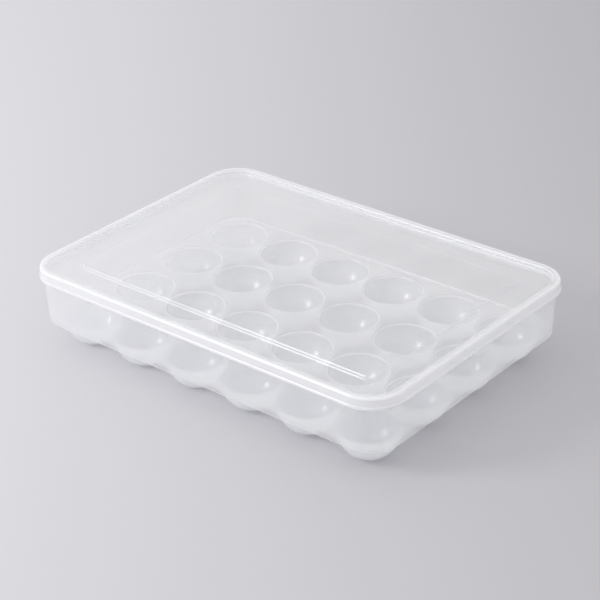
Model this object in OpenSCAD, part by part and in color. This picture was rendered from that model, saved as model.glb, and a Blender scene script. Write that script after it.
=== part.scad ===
// Egg keeper: a clear moulded tray with bowls for the eggs and a lid that snaps over its edge.
// Origin at the middle of the footprint, on the surface that the bowls stand on.
// +X runs along the long side, +Z is up, and the row of cups named a is at the front.

/* [Egg cups] */
// Cups along the long side
cups_long = 6; // [4:1:6]
// Cups along the short side
cups_short = 4; // [3:1:4]
// Spacing of the cups along the long side
pitch_x = 50.5; // [48.5:0.5:56]
// Spacing of the cups along the short side
pitch_y = 54; // [50:0.5:60]
// Inside radius of a cup
cup_r = 21; // [19:0.25:22]
// Thickness of a cup's shell
cup_t = 1.3; // [1:0.1:2]
// Radius of the flat under each cup
foot_r = 6.5; // [4:0.5:9]
// Radius of the soft lip where a cup meets the deck
lip_r = 3; // [1.5:0.25:3.75]

/* [Tray] */
// Height of the deck's upper face above the feet
deck_z = 22.6; // [21:0.2:26]
// Thickness of the deck
deck_t = 1.5; // [1:0.1:2.2]
// Space outside the grid of cups at the short sides, to the lid's outer edge
margin_x = 8.5; // [7:0.5:20]
// Space outside the grid of cups at the long sides, to the lid's outer edge
margin_y = 7; // [6:0.5:20]
// Thickness of the tray's side wall
wall_t = 1.5; // [1:0.1:2.2]
// How far the wall stands behind the lid's outer edge, at the flange
wall_inset = 2.9; // [2.7:0.1:3.3]
// How far the wall leans in from the flange to the deck
wall_draft = 1.5; // [0.5:0.1:3]
// How far the flange stands out of the wall
flange_out = 0.7; // [0.3:0.1:0.8]
// Height of the flange
flange_h = 2.4; // [1.5:0.1:3]
// Inside radius where the wall meets the deck
floor_fillet = 2; // [1:0.25:3]
// Radius of the wall's lower outside edge
edge_r = 1.2; // [0.5:0.1:1.4]

/* [Lid] */
// Height of the closed box
box_h = 64.5; // [60:0.5:80]
// Outside corner radius
corner_r = 26; // [20:0.5:32]
// Thickness of the lid
lid_t = 1.4; // [1:0.1:1.5]
// Height of the skirt
skirt_h = 8.8; // [8:0.2:14]
// Height of the thicker lip along the skirt's lower edge
skirt_lip_h = 1.8; // [1:0.1:2.4]
// How far the skirt leans in from the lip to the top
skirt_draft = 0.6; // [0.45:0.05:0.7]
// Radius of the rim's outer top edge
rim_outer_r = 1.6; // [0.8:0.1:2]
// Radius of the rim's inner top edge
rim_inner_r = 1; // [0.4:0.1:1.4]
// Depth of the border below the rim
border_drop = 3.5; // [2.5:0.1:5]
// Distance from the lid's outer edge to the raised panel
panel_inset = 27.5; // [16:0.5:40]
// Height of the raised panel above the border
panel_rise = 1.5; // [1:0.1:2.5]
// Width of the sloped step round the raised panel
panel_slope = 1.5; // [0.5:0.1:2]
// Corner radius of the raised panel
panel_r = 6; // [5:0.5:14]
// Height of the snap bead's middle below the flange
bead_drop = 1.2; // [1.2:0.1:1.8]
// How far the snap bead stands out of the skirt's inner face
bead_out = 0.4; // [0.2:0.05:0.45]

/* [Lift tabs] */
// Width of a lift tab
tab_w = 15; // [10:0.5:30]
// How far a tab hangs below the skirt
tab_drop = 4; // [3:0.25:8]
// Radius of a tab's lower corners
tab_r = 3; // [1:0.25:3]

/* [Clearances] */
// Gap between the lid's rim and the top of the tray's wall
seat_gap = 0.3; // [0.2:0.05:0.6]
// Gap between the tray's wall and the lid's inner rib
rib_gap = 0.7; // [0.4:0.05:1.2]

/* [Hidden] */
$fn = 96;
arc_steps = 6;
row_names = "abcd";
deck_edge = 0.1;
top_edge_r = 0.6;
rib_draft = 0.2;
rib_foot = 1.5;
lip_step = 0.4;
bead_h = 1.8;
cut_over = 1;
tray_colour = [0.87, 0.89, 0.92];
lid_colour = [0.91, 0.92, 0.94];

function cup_name(row, col) = str("egg_cup_", row_names[row], col + 1);

// The box takes its length and width from the grid of cups.
box_l = cups_long * pitch_x + 2 * margin_x;
box_w = cups_short * pitch_y + 2 * margin_y;

// Every section is drawn outwards from the middle of the corner arcs.
arc_x = box_l / 2 - corner_r;
arc_y = box_w / 2 - corner_r;
function at(inset) = corner_r - inset;

// Heights
deck_low = deck_z - deck_t;
tray_top = box_h - lid_t - seat_gap;
flange_low = tray_top - flange_h;
skirt_low = box_h - skirt_h;
border_top = box_h - border_drop;
border_low = border_top - lid_t;
panel_top = border_top + panel_rise;
panel_low = panel_top - lid_t;

// Places in the section, counted from the middle of the corner arcs
wall_high = at(wall_inset);
wall_low = at(wall_inset + wall_draft);
inner_high = wall_high - wall_t;
inner_low = wall_low - wall_t;
deck_out = inner_low - floor_fillet - deck_edge;
rib_face = inner_high - rib_gap;
rib_back = rib_face - lid_t;
border_out = rib_back - rib_foot;
skirt_inner = at(lid_t);

// Cup sections, counted from the cup's axis
cup_outer_r = cup_r + cup_t;
cup_z = sqrt(pow(cup_outer_r, 2) - pow(foot_r, 2));
cup_floor_r = sqrt(pow(cup_r, 2) - pow(cup_z - cup_t, 2));
lip_x = sqrt(pow(cup_r + lip_r, 2) - pow(deck_z - lip_r - cup_z, 2));
lip_angle = atan2(deck_z - lip_r - cup_z, lip_x);
under_r = lip_r / 2;
under_x = sqrt(pow(cup_outer_r + under_r, 2) - pow(deck_low - under_r - cup_z, 2));
under_angle = atan2(deck_low - under_r - cup_z, under_x);

function arc(centre, r, from, to, steps = arc_steps) = [
    for (i = [0 : steps])
        let (angle = from + (to - from) * i / steps)
        centre + r * [cos(angle), sin(angle)]
];

// A closed section carried round a rectangle with round corners. The section's x is the
// distance from the middle of a corner arc, and its y is the height.
module swept(section, x = arc_x, y = arc_y) {
    for (corner = [[1, 1, 0], [-1, 1, 90], [-1, -1, 180], [1, -1, 270]])
        translate([corner[0] * x, corner[1] * y, 0])
            rotate(corner[2])
                rotate_extrude(angle = 90)
                    polygon(section);
    for (turn = [0, 180])
        rotate(turn) {
            translate([x, y, 0])
                rotate([90, 0, 0])
                    linear_extrude(2 * y)
                        polygon(section);
            translate([-x, y, 0])
                rotate([90, 0, 90])
                    linear_extrude(2 * x)
                        polygon(section);
        }
}

// A flat plate whose corners lie r from the corner centres at x, y.
module plate(r, low, high, x = arc_x, y = arc_y) {
    translate([0, 0, low])
        linear_extrude(high - low)
            union() {
                square([2 * (x + r), 2 * y], center = true);
                square([2 * x, 2 * (y + r)], center = true);
                for (sx = [-1, 1], sy = [-1, 1])
                    translate([sx * x, sy * y])
                        circle(r);
            }
}

// The side wall of the tray, from its foot at the deck to the flange under the lid.
module tray_wall() {
    section = concat(
        [[deck_out, deck_low]],
        arc([wall_low - edge_r, deck_low + edge_r], edge_r, -90, 0),
        [[wall_high, flange_low], [wall_high + flange_out, flange_low]],
        arc([wall_high + flange_out - top_edge_r, tray_top - top_edge_r], top_edge_r, 0, 90),
        arc([inner_high + top_edge_r, tray_top - top_edge_r], top_edge_r, 90, 180),
        arc([inner_low - floor_fillet, deck_z + floor_fillet], floor_fillet, 0, -90),
        [[deck_out, deck_z]]
    );
    color(tray_colour)
        swept(section);
}

// The bowl's outside: a flat foot, a round shell and a soft turn into the deck.
module cup_outside() {
    rotate_extrude()
        polygon(concat(
            [[0, 0]],
            arc([0, cup_z], cup_outer_r, -acos(foot_r / cup_outer_r), under_angle, 20),
            arc([under_x, deck_low - under_r], under_r, under_angle + 180, 90),
            [[under_x, deck_z], [0, deck_z]]
        ));
}

// The space that the egg sits in, up through the deck.
module cup_inside() {
    rotate_extrude()
        polygon(concat(
            [[0, cup_t]],
            arc([0, cup_z], cup_r, -acos(cup_floor_r / cup_r), lip_angle, 20),
            arc([lip_x, deck_z - lip_r], lip_r, lip_angle + 180, 90),
            [[lip_x, deck_z + cut_over], [0, deck_z + cut_over]]
        ));
}

// The piece of deck round one cup. Outer cups reach to the foot of the wall.
module deck_tile(row, col) {
    reach = margin_x + margin_y;
    left = col * pitch_x - cups_long * pitch_x / 2 - (col == 0 ? reach : 0);
    right = (col + 1) * pitch_x - cups_long * pitch_x / 2 + (col == cups_long - 1 ? reach : 0);
    front = row * pitch_y - cups_short * pitch_y / 2 - (row == 0 ? reach : 0);
    back = (row + 1) * pitch_y - cups_short * pitch_y / 2 + (row == cups_short - 1 ? reach : 0);
    intersection() {
        plate(deck_out, deck_low, deck_z);
        translate([left, front, 0])
            cube([right - left, back - front, deck_z + cut_over]);
    }
}

module egg_cup(row, col) {
    centre = [
        (col + 0.5 - cups_long / 2) * pitch_x,
        (row + 0.5 - cups_short / 2) * pitch_y,
        0
    ];
    color(tray_colour)
        difference() {
            union() {
                deck_tile(row, col);
                translate(centre)
                    cup_outside();
            }
            translate(centre)
                cup_inside();
        }
}

// The lid's edge: a skirt with a lip and a snap bead, a round rim that covers the top of the
// tray's wall, and the rib that drops from the rim to the border.
module lid_rim() {
    bead_z = flange_low - bead_drop;
    section = concat(
        [[skirt_inner, skirt_low], [at(0), skirt_low], [at(0), skirt_low + skirt_lip_h]],
        [[at(lip_step), skirt_low + skirt_lip_h + lip_step]],
        arc([at(skirt_draft) - rim_outer_r, box_h - rim_outer_r], rim_outer_r, 0, 90),
        arc([rib_back + rib_draft + rim_inner_r, box_h - rim_inner_r], rim_inner_r, 90, 180),
        arc([rib_back - top_edge_r, border_top + top_edge_r], top_edge_r, 0, -90),
        [[border_out, border_top], [border_out, border_low]],
        arc([rib_face - top_edge_r, border_low + top_edge_r], top_edge_r, -90, 0),
        [[rib_face + rib_draft, box_h - lid_t], [skirt_inner - rib_draft, box_h - lid_t]],
        [[skirt_inner, bead_z + bead_h / 2]],
        [[skirt_inner - bead_out, bead_z + bead_h / 6], [skirt_inner - bead_out, bead_z - bead_h / 6]],
        [[skirt_inner, bead_z - bead_h / 2]]
    );
    color(lid_colour)
        swept(section);
}

// The flat top: a border, a sloped step and the raised panel inside it.
module lid_panel() {
    panel_x = box_l / 2 - panel_inset - panel_r;
    panel_y = box_w / 2 - panel_inset - panel_r;
    crown_r = panel_r - panel_slope - lid_t;
    step = [
        [panel_r, border_low],
        [panel_r, border_top],
        [panel_r - panel_slope, panel_top],
        [crown_r, panel_top],
        [crown_r, panel_low],
        [panel_r - panel_slope - lid_t / 2, panel_low],
        [panel_r - lid_t / 2, border_low]
    ];
    color(lid_colour)
        union() {
            difference() {
                plate(border_out, border_low, border_top);
                plate(panel_r, border_low - cut_over, border_top + cut_over, panel_x, panel_y);
            }
            swept(step, panel_x, panel_y);
            plate(crown_r, panel_low, panel_top, panel_x, panel_y);
        }
}

// A thumb tab that hangs from the skirt. side is -1 on the left and 1 on the right.
module lift_tab(side) {
    low = skirt_low - tab_drop;
    color(lid_colour)
        translate([side > 0 ? box_l / 2 - lid_t : -box_l / 2, 0, 0])
            rotate([90, 0, 90])
                linear_extrude(lid_t)
                    polygon(concat(
                        [[tab_w / 2, skirt_low], [-tab_w / 2, skirt_low]],
                        arc([tab_r - tab_w / 2, low + tab_r], tab_r, 180, 270),
                        arc([tab_w / 2 - tab_r, low + tab_r], tab_r, 270, 360)
                    ));
}

tray_wall();
for (row = [0 : cups_short - 1], col = [0 : cups_long - 1])
    egg_cup(row, col);
lid_rim();
lid_panel();
lift_tab(-1);  // lift_tab_left
lift_tab(1);  // lift_tab_right
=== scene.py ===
from math import acos, atan2, cos, degrees, hypot, pi, radians, sin, sqrt, tan

import bmesh
import bpy
from mathutils import Matrix, Vector


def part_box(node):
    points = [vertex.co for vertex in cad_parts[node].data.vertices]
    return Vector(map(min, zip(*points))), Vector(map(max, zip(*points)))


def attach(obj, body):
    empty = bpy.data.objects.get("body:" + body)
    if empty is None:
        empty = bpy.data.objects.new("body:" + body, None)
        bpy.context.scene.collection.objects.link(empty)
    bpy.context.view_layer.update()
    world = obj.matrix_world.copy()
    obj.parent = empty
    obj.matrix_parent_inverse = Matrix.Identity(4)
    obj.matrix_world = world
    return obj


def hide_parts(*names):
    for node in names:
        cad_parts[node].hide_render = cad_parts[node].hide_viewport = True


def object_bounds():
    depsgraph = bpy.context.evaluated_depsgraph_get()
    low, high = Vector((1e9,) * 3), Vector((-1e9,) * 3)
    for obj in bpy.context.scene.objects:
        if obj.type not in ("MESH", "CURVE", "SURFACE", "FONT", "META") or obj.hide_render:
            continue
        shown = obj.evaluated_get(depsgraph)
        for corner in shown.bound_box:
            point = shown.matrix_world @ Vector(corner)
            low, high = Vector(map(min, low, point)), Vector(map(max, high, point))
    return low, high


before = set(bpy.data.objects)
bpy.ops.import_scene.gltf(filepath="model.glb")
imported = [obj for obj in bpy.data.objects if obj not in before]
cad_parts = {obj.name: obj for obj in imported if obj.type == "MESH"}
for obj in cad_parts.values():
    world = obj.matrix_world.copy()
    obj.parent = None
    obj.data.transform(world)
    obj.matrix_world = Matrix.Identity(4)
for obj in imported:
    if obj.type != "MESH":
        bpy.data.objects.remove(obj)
cad_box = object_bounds()

MM = 0.001

# Sizes that the frame gives
box_l = cad_box[1].x - cad_box[0].x
box_w = cad_box[1].y - cad_box[0].y
box_h = cad_box[1].z
inner_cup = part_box("egg_cup_b2")
pitch_x = inner_cup[1].x - inner_cup[0].x
pitch_y = inner_cup[1].y - inner_cup[0].y
cups_long = 6
cups_short = 4
deck_z = inner_cup[1].z
deck_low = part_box("tray_wall")[0].z
tray_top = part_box("tray_wall")[1].z
skirt_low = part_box("lid_rim")[0].z
tab_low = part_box("lift_tab_left")[0].z
tab_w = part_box("lift_tab_left")[1].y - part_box("lift_tab_left")[0].y
lid_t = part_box("lift_tab_left")[1].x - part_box("lift_tab_left")[0].x
panel_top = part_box("lid_panel")[1].z

# Cups
cup_r = 21 * MM
cup_t = 1.3 * MM
foot_r = 6.5 * MM
lip_r = 3 * MM

# The painted highlight line on each lip, a milkier band, reaches this many degrees to either side of its
# middle
lip_highlight_reach = 16

# Tray wall, counted inwards from the lid's outer edge
corner_r = 26 * MM
wall_inset = 2.9 * MM
wall_draft = 1.5 * MM
wall_t = 1.5 * MM
flange_out = 0.7 * MM
flange_h = 2.4 * MM
floor_fillet = 2 * MM
deck_edge = 0.1 * MM
edge_r = 1.2 * MM
top_edge_r = 0.6 * MM

# Lid
border_drop = 3.5 * MM
skirt_lip_h = 1.8 * MM
skirt_draft = 0.6 * MM
lip_step = 0.4 * MM
rim_outer_r = 1.6 * MM
rim_inner_r = 1 * MM
rib_gap = 0.7 * MM
rib_draft = 0.2 * MM
border_reach = 1.5 * MM
bead_drop = 1.2 * MM
bead_out = 0.4 * MM
bead_h = 1.8 * MM
panel_inset = 27.5 * MM
panel_slope = 1.5 * MM
panel_r = 6 * MM
tab_r = 3 * MM
tab_root = 0.4 * MM

# The step round the panel goes down in two small steps, each of which catches the light
step_run = 0.5 * MM
step_land = 2.2 * MM
under_slope = 2.8 * MM

# Small rounds on the lid's edges, where they catch the light
step_round = 0.4 * MM
skirt_round = 0.5 * MM

# How milky the faces look. Bowls and tabs are milky on both faces, the rest outside or above
lid_milk = 0.18
deck_milk = 0.31
bowl_milk = 0.37
under_milk = 0.42
wall_milk = 0.31
skirt_milk = 0.72
back_milk = 0.02

# How much milkier the rounds look than the faces beside them. The extra milk is partly the thicker
# plastic there and partly a painted highlight line along each round
# Partly the thicker plastic at the rounds, partly a painted highlight
round_milk_and_highlight = 0.4
# Painted highlight lines on the rounds of the panel's step
step_painted_highlight = 0.5
# Painted highlight along each bowl's lip
lip_painted_highlight = 0.15
# Painted light: the bowls grow milkier towards their bottom, which lifts the shade deep in them
deep_painted_light = 0.28
# Partly the thicker plastic in the fillets, partly a painted highlight along them
fillet_milk_and_highlight = 0.3

# Places worked out from the sizes
arc_x = box_l / 2 - corner_r
arc_y = box_w / 2 - corner_r
wall_high = corner_r - wall_inset
wall_low = wall_high - wall_draft
inner_high = wall_high - wall_t
inner_low = wall_low - wall_t
deck_out = inner_low - floor_fillet - deck_edge
flange_low = tray_top - flange_h
rib_face = inner_high - rib_gap
rib_back = rib_face - lid_t
border_out = rib_back - border_reach
border_top = box_h - border_drop
border_low = border_top - lid_t
skirt_inner = corner_r - lid_t
panel_x = box_l / 2 - panel_inset - panel_r
panel_y = box_w / 2 - panel_inset - panel_r

# Fineness of the meshes
rays_per_octant = 6
corner_steps = 16
bowl_steps = 16
bend_steps = 8
small_bend_steps = 5
tab_steps = 6
edge_steps = 4
lip_highlight_steps = 4
lip_rest_steps = 3

# Lengths that count as nothing, and the angle above which an edge is shaded sharp
hair = 0.001 * MM
weld = 0.01 * MM
same_place = 0.02 * MM
sharp_angle = 40


def arc(x, z, r, start, end, steps, milk=0, more=0):
    """Points of a round stretch of a section: place, height and milk, with the angles in degrees.

    The milk is more by the given amount at the middle of the stretch, which paints a highlight line
    along the round.
    """
    points = []
    for i in range(steps + 1):
        angle = radians(start + (end - start) * i / steps)
        points.append((x + r * cos(angle), z + r * sin(angle), milk + more * sin(pi * i / steps)))
    return points


def new_mesh():
    """An empty mesh whose points can hold how much milkier they look, painted highlights and painted
    light included.
    """
    mesh = bmesh.new()
    mesh.verts.layers.float.new("milk")
    return mesh


def add_strip(mesh, rings, closed=True):
    """Joins each ring of points, which hold their milk last, to the next one with four-sided faces."""
    layer = mesh.verts.layers.float["milk"]
    made = []
    for ring in rings:
        made.append([mesh.verts.new(point[:3]) for point in ring])
        for vert, point in zip(made[-1], ring):
            vert[layer] = point[3]
    count = len(rings[0])
    for near, far in zip(made, made[1:]):
        for i in range(count if closed else count - 1):
            j = (i + 1) % count
            mesh.faces.new((near[i], near[j], far[j], far[i]))
    return made


def finished_piece(mesh, name, body, nodes):
    """Welds a mesh, makes it a piece with soft shading and gives it its place in the frame."""
    bmesh.ops.remove_doubles(mesh, verts=mesh.verts, dist=weld)
    bmesh.ops.recalc_face_normals(mesh, faces=mesh.faces)
    data = bpy.data.meshes.new(name)
    mesh.to_mesh(data)
    mesh.free()
    data.shade_smooth()
    data.set_sharp_from_angle(angle=radians(sharp_angle))
    piece = bpy.data.objects.new(name, data)
    bpy.context.scene.collection.objects.link(piece)
    flat = piece.modifiers.new("even_flats", "WEIGHTED_NORMAL")
    flat.keep_sharp = True
    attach(piece, body)
    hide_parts(*nodes)
    return piece


# The tray

def edge_base(x, y):
    """The nearest point of the rectangle through the middles of the corner arcs."""
    return max(-arc_x, min(arc_x, x)), max(-arc_y, min(arc_y, y))


def reach_to_edge(x, y, angle, out):
    """How far it is from x, y along an angle to the outline that lies out from the arcs' middles."""
    halvings = 40
    near, far = 0.0, box_l
    for _ in range(halvings):
        middle = (near + far) / 2
        px, py = x + middle * cos(angle), y + middle * sin(angle)
        base = edge_base(px, py)
        if hypot(px - base[0], py - base[1]) < out:
            near = middle
        else:
            far = middle
    return near


def cup_centre(row, col):
    """The place of a bowl's axis, with row 0 at the front and column 0 at the left."""
    return (col + 0.5 - cups_long / 2) * pitch_x, (row + 0.5 - cups_short / 2) * pitch_y


def tile_outline(row, col):
    """The ray angles of one cup and the points where they meet the edge of its piece of deck."""
    x, y = cup_centre(row, col)
    right = pitch_x / 2 if col < cups_long - 1 else arc_x + deck_out - x
    left = pitch_x / 2 if col > 0 else arc_x + deck_out + x
    back = pitch_y / 2 if row < cups_short - 1 else arc_y + deck_out - y
    front = pitch_y / 2 if row > 0 else arc_y + deck_out + y
    corners = [atan2(back, right), pi - atan2(back, left)]
    corners += [pi + atan2(front, left), 2 * pi - atan2(front, right)]
    stops = [0]
    for i, corner in enumerate(corners):
        stops += [corner, (i + 1) * pi / 2]
    angles = []
    for start, end in zip(stops, stops[1:]):
        angles += [start + (end - start) * i / rays_per_octant for i in range(rays_per_octant)]
    points = []
    least_lean = 1e-9
    for angle in angles:
        sides = [reach_to_edge(x, y, angle, deck_out)]
        if abs(cos(angle)) > least_lean:
            sides.append((right if cos(angle) > 0 else left) / abs(cos(angle)))
        if abs(sin(angle)) > least_lean:
            sides.append((back if sin(angle) > 0 else front) / abs(sin(angle)))
        points.append((x + min(sides) * cos(angle), y + min(sides) * sin(angle)))
    return angles, points


def cup_sections():
    """The bowl's inside and outside from its axis to the deck, as distance and height."""
    outer_r = cup_r + cup_t
    middle = sqrt(outer_r ** 2 - foot_r ** 2)
    floor_r = sqrt(cup_r ** 2 - (middle - cup_t) ** 2)
    lip_z = deck_z - lip_r
    lip_x = sqrt((cup_r + lip_r) ** 2 - (lip_z - middle) ** 2)
    lip_angle = degrees(atan2(lip_z - middle, lip_x))
    under_r = lip_r / 2
    under_z = deck_low - under_r
    under_x = sqrt((outer_r + under_r) ** 2 - (under_z - middle) ** 2)
    under_angle = degrees(atan2(under_z - middle, under_x))
    highlight_start = (lip_angle + 270) / 2 + lip_highlight_reach
    highlight_end = highlight_start - 2 * lip_highlight_reach
    floor_angle = -degrees(acos(floor_r / cup_r))
    foot_angle = -degrees(acos(foot_r / outer_r))
    bowl = arc(0, middle, cup_r, floor_angle, lip_angle, bowl_steps, bowl_milk)
    # Painted light: milkier towards the bottom of the bowl, lifting the shade there
    inside = [(r, z, milk + deep_painted_light * (1 - z / lip_z)) for r, z, milk in bowl]
    inside.insert(0, (floor_r / 2, cup_t, inside[0][2]))
    inside += arc(lip_x, lip_z, lip_r, lip_angle + 180, highlight_start, lip_rest_steps, bowl_milk)[1:]
    # A painted highlight line along the middle of the lip
    inside += arc(lip_x, lip_z, lip_r, highlight_start, highlight_end, lip_highlight_steps, bowl_milk, lip_painted_highlight)[1:]
    inside += arc(lip_x, lip_z, lip_r, highlight_end, 90, lip_rest_steps, deck_milk)[1:]
    outside = [(foot_r / 2, 0, under_milk)]
    outside += arc(0, middle, outer_r, foot_angle, under_angle, bowl_steps, under_milk)
    outside += arc(under_x, under_z, under_r, under_angle + 180, 90, small_bend_steps, under_milk)[1:]
    return inside, outside


def add_cup(mesh, row, col, inside, outside):
    """One bowl and its piece of deck. Returns the deck points that lie on the tray's edge."""
    x, y = cup_centre(row, col)
    angles, outline = tile_outline(row, col)
    for section, height, far_milk in ((inside, deck_z, deck_milk), (outside, deck_low, back_milk)):
        rings = [[(x + r * cos(a), y + r * sin(a), z, milk) for a in angles] for r, z, milk in section]
        rings.append([(px, py, height, far_milk) for px, py in outline])
        mesh.faces.new(add_strip(mesh, rings)[0])
    edge = []
    for px, py in outline:
        base = edge_base(px, py)
        if hypot(px - base[0], py - base[1]) > deck_out - hair:
            edge.append((px, py))
    return edge


def wall_section():
    """The side wall from the deck's upper face over the flange to the deck's underside."""
    top_z = tray_top - top_edge_r
    flange_x = wall_high + flange_out
    section = [(deck_out, deck_z, deck_milk)]
    # The fillets and rounds are milkier: partly thicker plastic, partly a painted highlight line
    section += arc(inner_low - floor_fillet, deck_z + floor_fillet, floor_fillet, -90, 0, bend_steps,
                   back_milk, fillet_milk_and_highlight)
    section += arc(inner_high + top_edge_r, top_z, top_edge_r, 180, 90, small_bend_steps,
                   back_milk, round_milk_and_highlight)
    section += arc(flange_x - top_edge_r, top_z, top_edge_r, 90, 0, small_bend_steps,
                   wall_milk, round_milk_and_highlight)
    section += [(flange_x, flange_low, wall_milk), (wall_high, flange_low, wall_milk)]
    section += arc(wall_low - edge_r, deck_low + edge_r, edge_r, 0, -90, bend_steps,
                   wall_milk, fillet_milk_and_highlight)
    section.append((deck_out, deck_low, back_milk))
    return section


def tray_moulding():
    """The deck with its bowls, and the wall that stands round it."""
    mesh = new_mesh()
    inside, outside = cup_sections()
    edge = []
    for row in range(cups_short):
        for col in range(cups_long):
            edge += add_cup(mesh, row, col, inside, outside)
    edge.sort(key=lambda point: atan2(point[1], point[0]))
    path = []
    for x, y in edge:
        if path and hypot(x - path[-1][0], y - path[-1][1]) < same_place:
            continue
        path.append((x, y))
    rings = []
    for out, z, milk in wall_section():
        ring = []
        for x, y in path:
            base = edge_base(x, y)
            share = out / hypot(x - base[0], y - base[1])
            ring.append((base[0] + (x - base[0]) * share, base[1] + (y - base[1]) * share, z, milk))
        rings.append(ring)
    add_strip(mesh, rings)
    cups = [f"egg_cup_{'abcd'[r]}{c + 1}" for r in range(cups_short) for c in range(cups_long)]
    return finished_piece(mesh, "tray_moulding", "tray", ["tray_wall", *cups])


# The lid

def tab_edge():
    """Stations along a tab's lower edge: the place along the side and the height there."""
    half = tab_w / 2
    corner = arc(half - tab_r, tab_low + tab_r, tab_r, 0, -90, tab_steps)
    return [(-y, z) for y, z, _ in corner] + [(y, z) for y, z, _ in reversed(corner)]


def lid_stations():
    """Stations round the lid: the corner or side, the outward direction and the place along the side."""
    stations = []
    corners = [(1, 1), (-1, 1), (-1, -1), (1, -1)]
    for i, (sx, sy) in enumerate(corners):
        for step in range(corner_steps + 1):
            angle = pi / 2 * (i + step / corner_steps)
            stations.append((sx, sy, cos(angle), sin(angle), None))
        if i == 1:
            stations += [(-1, 0, -1, 0, -y) for y, _ in tab_edge()]
        if i == 3:
            stations += [(1, 0, 1, 0, y) for y, _ in tab_edge()]
    return stations


def rounded(points, radius, milk, more=0):
    """A line of section points with each corner on the way turned into a small bend, milkier by a
    painted highlight line.
    """
    most_reach = 0.45
    made = [(*points[0], milk)]
    for before, corner, after in zip(points, points[1:], points[2:]):
        corner = Vector(corner)
        back = Vector(before) - corner
        ahead = Vector(after) - corner
        reach = radius / tan(back.angle(ahead) / 2)
        start = corner + back * min(reach / back.length, most_reach)
        end = corner + ahead * min(reach / ahead.length, most_reach)
        for i in range(edge_steps + 1):
            share = i / edge_steps
            bend = start.lerp(corner, share).lerp(corner.lerp(end, share), share)
            made.append((*bend, milk + more * sin(pi * share)))
    made.append((*points[-1], milk))
    return made


def lid_ring(stations, half_x, half_y, point):
    """One point of the lid's section at every station, out from a rectangle of half_x by half_y."""
    out, z, milk = point
    ring = []
    for sx, sy, nx, ny, along in stations:
        y = sy * half_y if along is None else along
        ring.append((sx * half_x + nx * out, y + ny * out, z, milk))
    return ring


def rim_section():
    """The lid's edge, from the border over the rim, round the skirt and back to the border."""
    bead_z = flange_low - bead_drop
    lip_top = skirt_low + skirt_lip_h
    section = [(border_out, border_top, lid_milk)]
    # The rim's fillets and rounds are milkier: partly thicker plastic, partly a painted highlight line
    section += arc(rib_back - top_edge_r, border_top + top_edge_r, top_edge_r, -90, 0,
                   small_bend_steps, lid_milk, fillet_milk_and_highlight)
    section += arc(rib_back + rib_draft + rim_inner_r, box_h - rim_inner_r, rim_inner_r, 180, 90,
                   bend_steps, lid_milk, round_milk_and_highlight)
    section += arc(corner_r - skirt_draft - rim_outer_r, box_h - rim_outer_r, rim_outer_r, 90, 0,
                   bend_steps, skirt_milk, round_milk_and_highlight)
    section += rounded([
        (corner_r - lip_step - skirt_draft / 10, lip_top + 3 * lip_step),
        (corner_r - lip_step, lip_top + lip_step),
        (corner_r, lip_top),
        (corner_r, lip_top - lip_step),
    ], skirt_round, skirt_milk, round_milk_and_highlight)
    section += rounded([
        (corner_r, lip_top - 2 * lip_step),
        (corner_r, skirt_low),
        (skirt_inner, skirt_low),
        (skirt_inner, skirt_low + 2 * lip_step),
    ], skirt_round, skirt_milk, round_milk_and_highlight)
    bead = [(0, -bead_h / 2), (bead_out, -bead_h / 6), (bead_out, bead_h / 6), (0, bead_h / 2)]
    hollow = [(skirt_inner - out, bead_z + up) for out, up in bead]
    hollow += [(skirt_inner - rib_draft, box_h - lid_t), (rib_face + rib_draft, box_h - lid_t)]
    section += [(out, z, back_milk) for out, z in hollow]
    section += arc(rib_face - top_edge_r, border_low + top_edge_r, top_edge_r, 0, -90,
                   small_bend_steps, back_milk, fillet_milk_and_highlight)
    section.append((border_out, border_low, back_milk))
    return section


def add_tab(mesh, side):
    """A lift tab in the plane of the skirt, whose root stands between the skirt's rounded edges."""
    outer, inner = side * box_l / 2, side * (box_l / 2 - lid_t)
    edge = tab_edge()
    root = [(y, skirt_low + tab_root) for y, _ in edge]
    rings = []
    for x, line in ((inner, root), (inner, edge), (outer, edge), (outer, root), (inner, root)):
        rings.append([(x, y, z, skirt_milk) for y, z in line])
    made = add_strip(mesh, rings, closed=False)
    for end in (0, -1):
        mesh.faces.new([ring[end] for ring in made[:-1]])


def lid_moulding():
    """The panel, the step round it, the rim with its skirt, and the two lift tabs."""
    mesh = new_mesh()
    stations = lid_stations()
    crown_r = panel_r - 2 * panel_slope
    head_r = panel_r - panel_slope
    foot_x = head_r + step_land + step_run
    land_z = (panel_top + border_top) / 2
    panel_low = panel_top - lid_t
    # The rounds of the step carry a painted highlight line
    step_over = rounded([
        (crown_r, panel_top),
        (head_r, panel_top),
        (head_r + step_run, land_z),
        (foot_x - step_run, land_z),
        (foot_x, border_top),
        (foot_x + panel_slope, border_top),
    ], step_round, lid_milk, step_painted_highlight)
    step_under = rounded([
        (foot_x + panel_slope, border_low),
        (crown_r + under_slope, border_low),
        (crown_r, panel_low),
        (crown_r - step_round, panel_low),
    ], step_round, back_milk)
    rings = [lid_ring(stations, panel_x, panel_y, point) for point in step_over]
    rings += [lid_ring(stations, arc_x, arc_y, point) for point in rim_section()]
    rings += [lid_ring(stations, panel_x, panel_y, point) for point in step_under]
    made = add_strip(mesh, rings)
    mesh.faces.new(made[0])
    mesh.faces.new(made[-1])
    for side in (-1, 1):
        add_tab(mesh, side)
    nodes = ["lid_rim", "lid_panel", "lift_tab_left", "lift_tab_right"]
    return finished_piece(mesh, "lid_moulding", "lid", nodes)


# Materials

class Signal:
    """A value of a material, so that sums of values are written as sums."""

    def __init__(self, finish, socket):
        self.finish = finish
        self.socket = socket

    def maths(self, operation, first, second):
        return self.finish.node("ShaderNodeMath", {"operation": operation}, {0: first, 1: second})

    def __add__(self, other):
        return self.maths("ADD", self, other)

    __radd__ = __add__

    def __mul__(self, other):
        return self.maths("MULTIPLY", self, other)

    __rmul__ = __mul__

    def __pow__(self, other):
        return self.maths("POWER", self, other)


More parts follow.
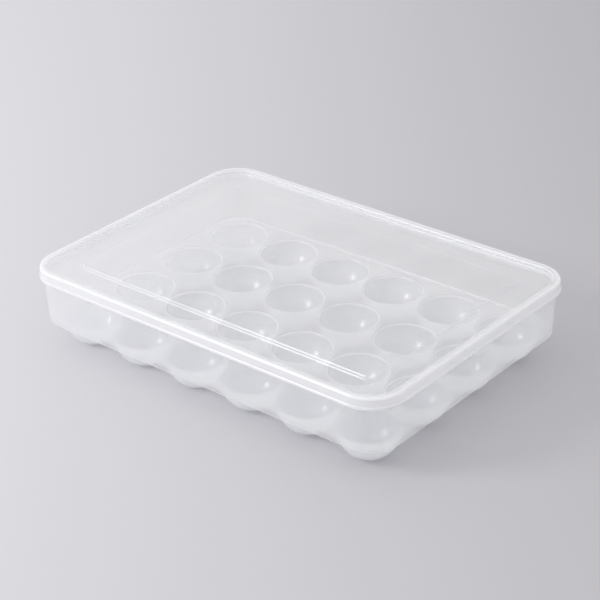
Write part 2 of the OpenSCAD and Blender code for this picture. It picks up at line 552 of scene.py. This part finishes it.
class Finish:
    """The nodes of one material or of the world."""

    def __init__(self, owner):
        owner.use_nodes = True
        self.tree = owner.node_tree
        self.tree.nodes.clear()

    @staticmethod
    def socket(node, name):
        """A node's input by its name or number, or the one in use where several share the name."""
        if isinstance(name, int):
            return node.inputs[name]
        return next(s for s in node.inputs if s.name == name and s.enabled)

    def node(self, kind, settings=None, values=None, output=0):
        made = self.tree.nodes.new(kind)
        for name, setting in (settings or {}).items():
            setattr(made, name, setting)
        for name, value in (values or {}).items():
            socket = self.socket(made, name)
            if isinstance(value, Signal):
                self.tree.links.new(value.socket, socket)
            else:
                socket.default_value = value
        return Signal(self, made.outputs[output]) if made.outputs else made

    def mix(self, share, first, second):
        """A shader that is the first one, with a share of the second one."""
        return self.node("ShaderNodeMixShader", {}, {0: share, 1: first, 2: second})


def milky_plastic(name, colour):
    """Clear polypropylene: see-through, a little milky, whiter where it is seen at a slant.

    The milk sends half of the light that it catches back and lets half through, and a thin
    gloss lies over it.
    """
    material = bpy.data.materials.new(name)
    finish = Finish(material)
    place = finish.node("ShaderNodeTexCoord", output="Object")
    clouds = finish.node("ShaderNodeTexNoise", {}, {"Vector": place, "Scale": 18, "Detail": 3})
    flow = finish.node("ShaderNodeTexNoise", {}, {"Vector": place, "Scale": 55, "Detail": 2})
    grain = finish.node("ShaderNodeTexNoise", {}, {"Vector": place, "Scale": 2400, "Detail": 1})
    slant = finish.node("ShaderNodeLayerWeight", {}, {"Blend": 0.5}, "Facing")
    # The milk attribute holds the plastic's milkiness and the painted highlights and painted light of
    # the rounds and bowls
    milk_with_painted_light = finish.node("ShaderNodeAttribute", {"attribute_name": "milk"}, output="Fac")
    least_milk = 0.85
    cloud_milk = 0.3
    least_roughness = 0.16
    flow_roughness = 0.05
    grain_roughness = 0.02
    flow_height = 0.25
    straight_mirror = 0.04
    milk = milk_with_painted_light * (least_milk + clouds * cloud_milk + slant ** 4)
    roughness = least_roughness + flow * flow_roughness + grain * grain_roughness
    ripple = finish.node("ShaderNodeBump", {}, {
        "Strength": 0.12, "Distance": 0.6 * MM, "Height": clouds + flow * flow_height,
    })
    front_light = finish.node("ShaderNodeBsdfDiffuse", {}, {"Color": (*colour, 1)})
    through_light = finish.node("ShaderNodeBsdfTranslucent", {}, {"Color": (*colour, 1)})
    clear = finish.node("ShaderNodeBsdfTransparent", {}, {"Color": (1, 1, 1, 1)})
    skin = finish.node("ShaderNodeBsdfAnisotropic", {}, {
        "Color": (1, 1, 1, 1), "Roughness": roughness, "Normal": ripple,
    })
    mirror = slant ** 5 * (1 - straight_mirror) + straight_mirror
    body = finish.mix(0.5, front_light, through_light)
    surface = finish.mix(mirror, finish.mix(milk, clear, body), skin)
    finish.node("ShaderNodeOutputMaterial", {}, {"Surface": surface})
    return material


def floor_material():
    """A pale grey sweep with the lamp's falloff painted into its colour: lighter towards the lamp,
    darker away from it.
    """
    material = bpy.data.materials.new("grey_sweep_painted_falloff")
    finish = Finish(material)
    place = finish.node("ShaderNodeTexCoord", output="Object")
    # The floor's grey is painted darker along this direction, a painted falloff of the lamp's light
    towards_painted_shade = Vector((0.82, 0.572, 0))
    across = finish.node(
        "ShaderNodeVectorMath", {"operation": "DOT_PRODUCT"}, {0: place, 1: towards_painted_shade}, output=1
    )
    share = finish.node("ShaderNodeMapRange", {"interpolation_type": "SMOOTHSTEP"}, {
        "Value": across, "From Min": -0.5, "From Max": 0.5,
    })
    # Painted falloff: lighter grey towards the lamp, darker grey away from it
    grey = finish.node("ShaderNodeMix", {"data_type": "RGBA"}, {
        "Factor": share, "A": (0.665, 0.66, 0.69, 1), "B": (0.442, 0.442, 0.461, 1),
    }, output=2)
    surface = finish.node("ShaderNodeBsdfPrincipled", {}, {
        "Base Color": grey,
        "Roughness": 0.9,
        "Specular IOR Level": 0.1,
    })
    finish.node("ShaderNodeOutputMaterial", {}, {"Surface": surface})
    return material


# The studio

def add_floor():
    """The flat sweep that the keeper stands on."""
    half = 8.0
    data = bpy.data.meshes.new("floor")
    corners = [(-half, -half, 0), (half, -half, 0), (half, half, 0), (-half, half, 0)]
    data.from_pydata(corners, [], [(0, 1, 2, 3)])
    floor = bpy.data.objects.new("floor", data)
    bpy.context.scene.collection.objects.link(floor)
    data.materials.append(floor_material())


def add_lamp(name, towards, distance, size, power):
    """A square soft lamp that shines at the keeper from a direction."""
    lamp = bpy.data.lights.new(name, "AREA")
    lamp.shape = "SQUARE"
    lamp.size = size
    lamp.energy = power
    direction = Vector(towards).normalized()
    stand = bpy.data.objects.new(name, lamp)
    stand.location = direction * distance
    stand.rotation_mode = "QUATERNION"
    stand.rotation_quaternion = direction.to_track_quat("Z", "Y")
    bpy.context.scene.collection.objects.link(stand)


def add_world():
    """A pale room, a little brighter above and towards the lamp's side."""
    world = bpy.data.worlds.new("studio")
    bpy.context.scene.world = world
    finish = Finish(world)
    direction = finish.node("ShaderNodeTexCoord", output="Generated")
    lit_side = Vector((-0.45, -0.4, 1)).normalized()
    towards = finish.node(
        "ShaderNodeVectorMath", {"operation": "DOT_PRODUCT"}, {0: direction, 1: lit_side}, output=1
    )
    glow = finish.node("ShaderNodeMapRange", {"interpolation_type": "SMOOTHSTEP"}, {
        "Value": towards, "From Min": -0.6, "From Max": 1.0, "To Min": 0.74, "To Max": 1.01,
    })
    sky = finish.node("ShaderNodeBackground", {}, {"Color": (0.99, 0.985, 0.99, 1), "Strength": glow})
    finish.node("ShaderNodeOutputWorld", {}, {"Surface": sky})


def add_camera():
    """The photograph's camera, turned a little about its own line of sight."""
    azimuth = radians(39.71)
    elevation = radians(28.158)
    roll = -0.018
    distance = 1.38133
    target = Vector((-10.542, 15.185, 30)) * MM
    sensor = 36
    focal_pixels = 1894.857
    image_width = 600
    back = Vector((
        sin(azimuth) * cos(elevation), -cos(azimuth) * cos(elevation), sin(elevation)
    ))
    right = Vector((cos(azimuth), sin(azimuth), 0))
    up = back.cross(right)
    turned_right = right * cos(roll) + up * sin(roll)
    turned_up = up * cos(roll) - right * sin(roll)
    data = bpy.data.cameras.new("camera")
    data.sensor_width = sensor
    data.lens = focal_pixels * sensor / image_width
    camera = bpy.data.objects.new("camera", data)
    camera.matrix_world = Matrix.Translation(target + back * distance) @ Matrix((
        turned_right, turned_up, back
    )).transposed().to_4x4()
    bpy.context.scene.collection.objects.link(camera)
    bpy.context.scene.camera = camera


add_camera()
tray = tray_moulding()
lid = lid_moulding()
tray.data.materials.append(milky_plastic("tray_polypropylene", (0.965, 0.972, 0.99)))
lid.data.materials.append(milky_plastic("lid_polypropylene", (0.97, 0.974, 0.985)))
add_floor()
add_world()
add_lamp("key", towards=(-0.48, -0.70, 0.53), distance=2.0, size=0.56, power=13.5)
bpy.context.scene.view_settings.view_transform = "Standard"
light_paths = bpy.context.scene.cycles
light_paths.transparent_max_bounces = 32
light_paths.diffuse_bounces = 8
light_paths.max_bounces = 16
